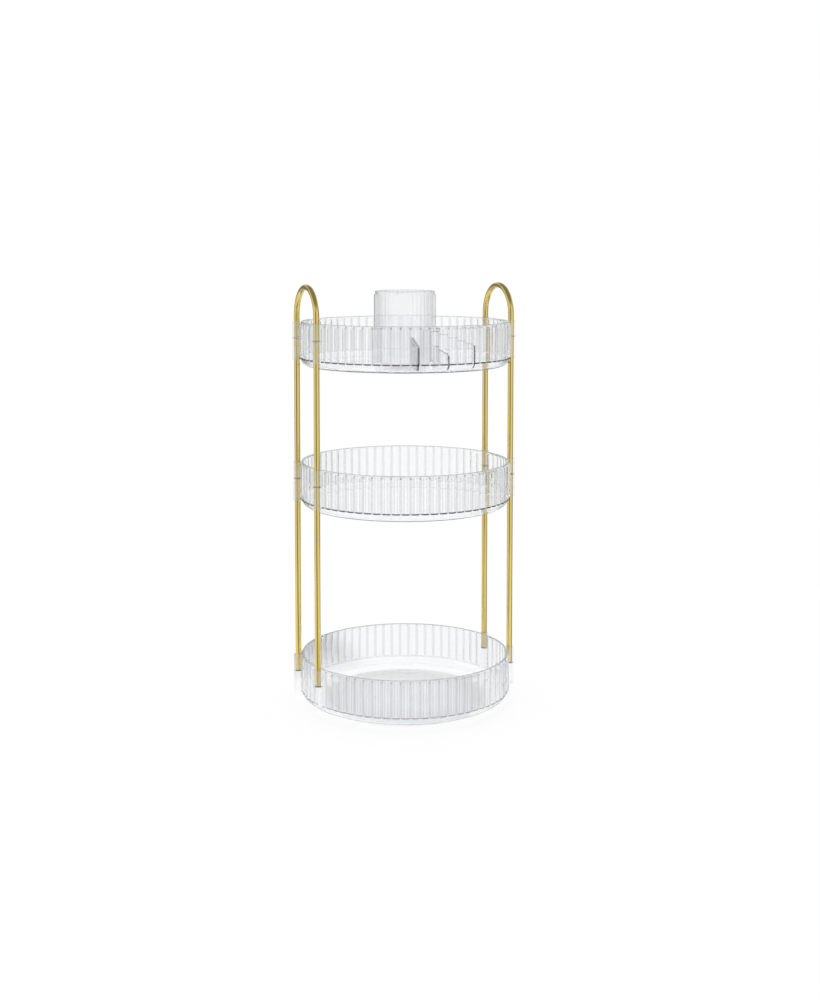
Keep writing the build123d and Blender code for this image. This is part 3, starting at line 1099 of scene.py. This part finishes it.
# %% Lay the floor
floor_radius = 0.8
white_share = 0.97
white_share_near = 0.87
painted_card_shade_on_floor = 0.7
only(camera)
bpy.ops.mesh.primitive_circle_add(vertices=128, radius=floor_radius, fill_type="NGON", location=(0, 0, 0))
floor = bpy.context.object
floor.name = "studio_floor"
floor_white, tree, shader = start_finish("floor_white")
shader.inputs["Base Color"].default_value = (0.85, 0.85, 0.85, 1)
shader.inputs["Roughness"].default_value = 0.9
path = put(tree, "ShaderNodeLightPath").outputs
spot = put(tree, "ShaderNodeTexCoord").outputs["Object"]
spot_reach = put(tree, "ShaderNodeVectorMath", {"operation": "LENGTH"}, _0=spot).outputs["Value"]
spot_axes = put(tree, "ShaderNodeSeparateXYZ", Vector=spot).outputs
# Painted shade seen only in reflections: the floor near the object is darker where the cards stand.
card = reckon(tree, "MULTIPLY", card_share(tree, spot_axes), ease(tree, spot_reach, 0.1, 0.3))
mirrored = reckon(tree, "SUBTRACT", 1.0, reckon(tree, "MULTIPLY", card, painted_card_shade_on_floor))
bright = put(tree, "ShaderNodeMix", _0=path["Is Glossy Ray"], _2=1.006, _3=mirrored)
glow = put(tree, "ShaderNodeEmission", Color=(1, 1, 1, 1), Strength=bright.outputs[0])
shadow_near = ease(tree, spot_reach, 0.11, 0.3, white_share_near, white_share)
straight = reckon(tree, "MULTIPLY", path["Is Camera Ray"], shadow_near)
through = reckon(tree, "ADD", path["Is Transmission Ray"], path["Is Glossy Ray"])
part = reckon(tree, "ADD", straight, reckon(tree, "MULTIPLY", through, white_share))
blend = put(tree, "ShaderNodeMixShader", _0=part, _1=shader.outputs["BSDF"], _2=glow.outputs["Emission"])
tree.links.new(blend.outputs["Shader"], tree.nodes["Material Output"].inputs["Surface"])
floor.data.materials.append(floor_white)
print("floor radius:", floor_radius)

# %% Set the studio round it
panel_count = 16.0
gap_level = 0.75
ceiling_level = 0.3
card_depth = 0.76
world = bpy.data.worlds.new("studio")
bpy.context.scene.world = world
world.use_nodes = True
tree = world.node_tree
tree.nodes.clear()
direction = put(tree, "ShaderNodeTexCoord").outputs["Generated"]
axes = put(tree, "ShaderNodeSeparateXYZ", Vector=direction).outputs
turn = reckon(tree, "ARCTAN2", axes["X"], axes["Y"])
ripple = reckon(tree, "COSINE", reckon(tree, "MULTIPLY", turn, panel_count))
gaps = ease(tree, ripple, -0.95, -0.2, gap_level, 1.0)
steep = reckon(tree, "ABSOLUTE", axes["Z"])
ceiling = ease(tree, steep, 0.25, 0.75, 1.0, ceiling_level)
card_fade = ease(tree, steep, 0.2, 0.5, card_depth, 0.0)
card_dark = reckon(tree, "MULTIPLY", card_share(tree, axes), card_fade)
card = reckon(tree, "SUBTRACT", 1.0, card_dark)
path = put(tree, "ShaderNodeLightPath").outputs
mirrored = put(tree, "ShaderNodeMix", _0=path["Is Glossy Ray"], _2=1.0, _3=card).outputs[0]
room = reckon(tree, "MULTIPLY", reckon(tree, "MULTIPLY", gaps, ceiling), mirrored)
clean = reckon(tree, "ADD", path["Is Glossy Ray"], path["Is Transmission Ray"])
level = put(tree, "ShaderNodeMix", _0=clean, _2=0.5, _3=room).outputs[0]
final = put(tree, "ShaderNodeMix", _0=path["Is Camera Ray"], _2=level, _3=1.0).outputs[0]
sky = put(tree, "ShaderNodeBackground", Color=(1, 1, 1, 1), Strength=final)
put(tree, "ShaderNodeOutputWorld", Surface=sky.outputs["Background"])
print("panels:", int(panel_count))


# %% Hang the soft boxes
def soft_box(name, place, width, height, watts):
    bpy.ops.object.light_add(type="AREA", location=place)
    lamp = bpy.context.object
    lamp.name = name
    lamp.data.shape = "RECTANGLE"
    lamp.data.size = width
    lamp.data.size_y = height
    lamp.data.energy = watts
    away = lamp.location - (cad_low + cad_high) / 2
    lamp.rotation_mode = "QUATERNION"
    lamp.rotation_quaternion = away.to_track_quat("Z", "Y")
    lamp.visible_glossy = False
    lamp.visible_transmission = False
    return lamp


left_box = soft_box("left_box", (-1.9, -0.9, 1.2), width=1.3, height=1.8, watts=26)
right_box = soft_box("right_box", (1.5, -1.5, 1.1), width=0.5, height=1.6, watts=12)
top_box = soft_box("top_box", (0.1, 0.3, 2.2), width=1.6, height=1.6, watts=24)
print("soft boxes:", left_box.name, right_box.name, top_box.name)

# %% [markdown]
# ## Picture settings
# The picture keeps plain colours, so a finish shows the colour it was given. Light needs many steps to find
# its way through several clear walls one behind the other.

# %% Finish
scene = bpy.context.scene
scene.view_settings.view_transform = "Standard"
scene.cycles.max_bounces = 32
scene.cycles.transmission_bounces = 32
scene.cycles.transparent_max_bounces = 32
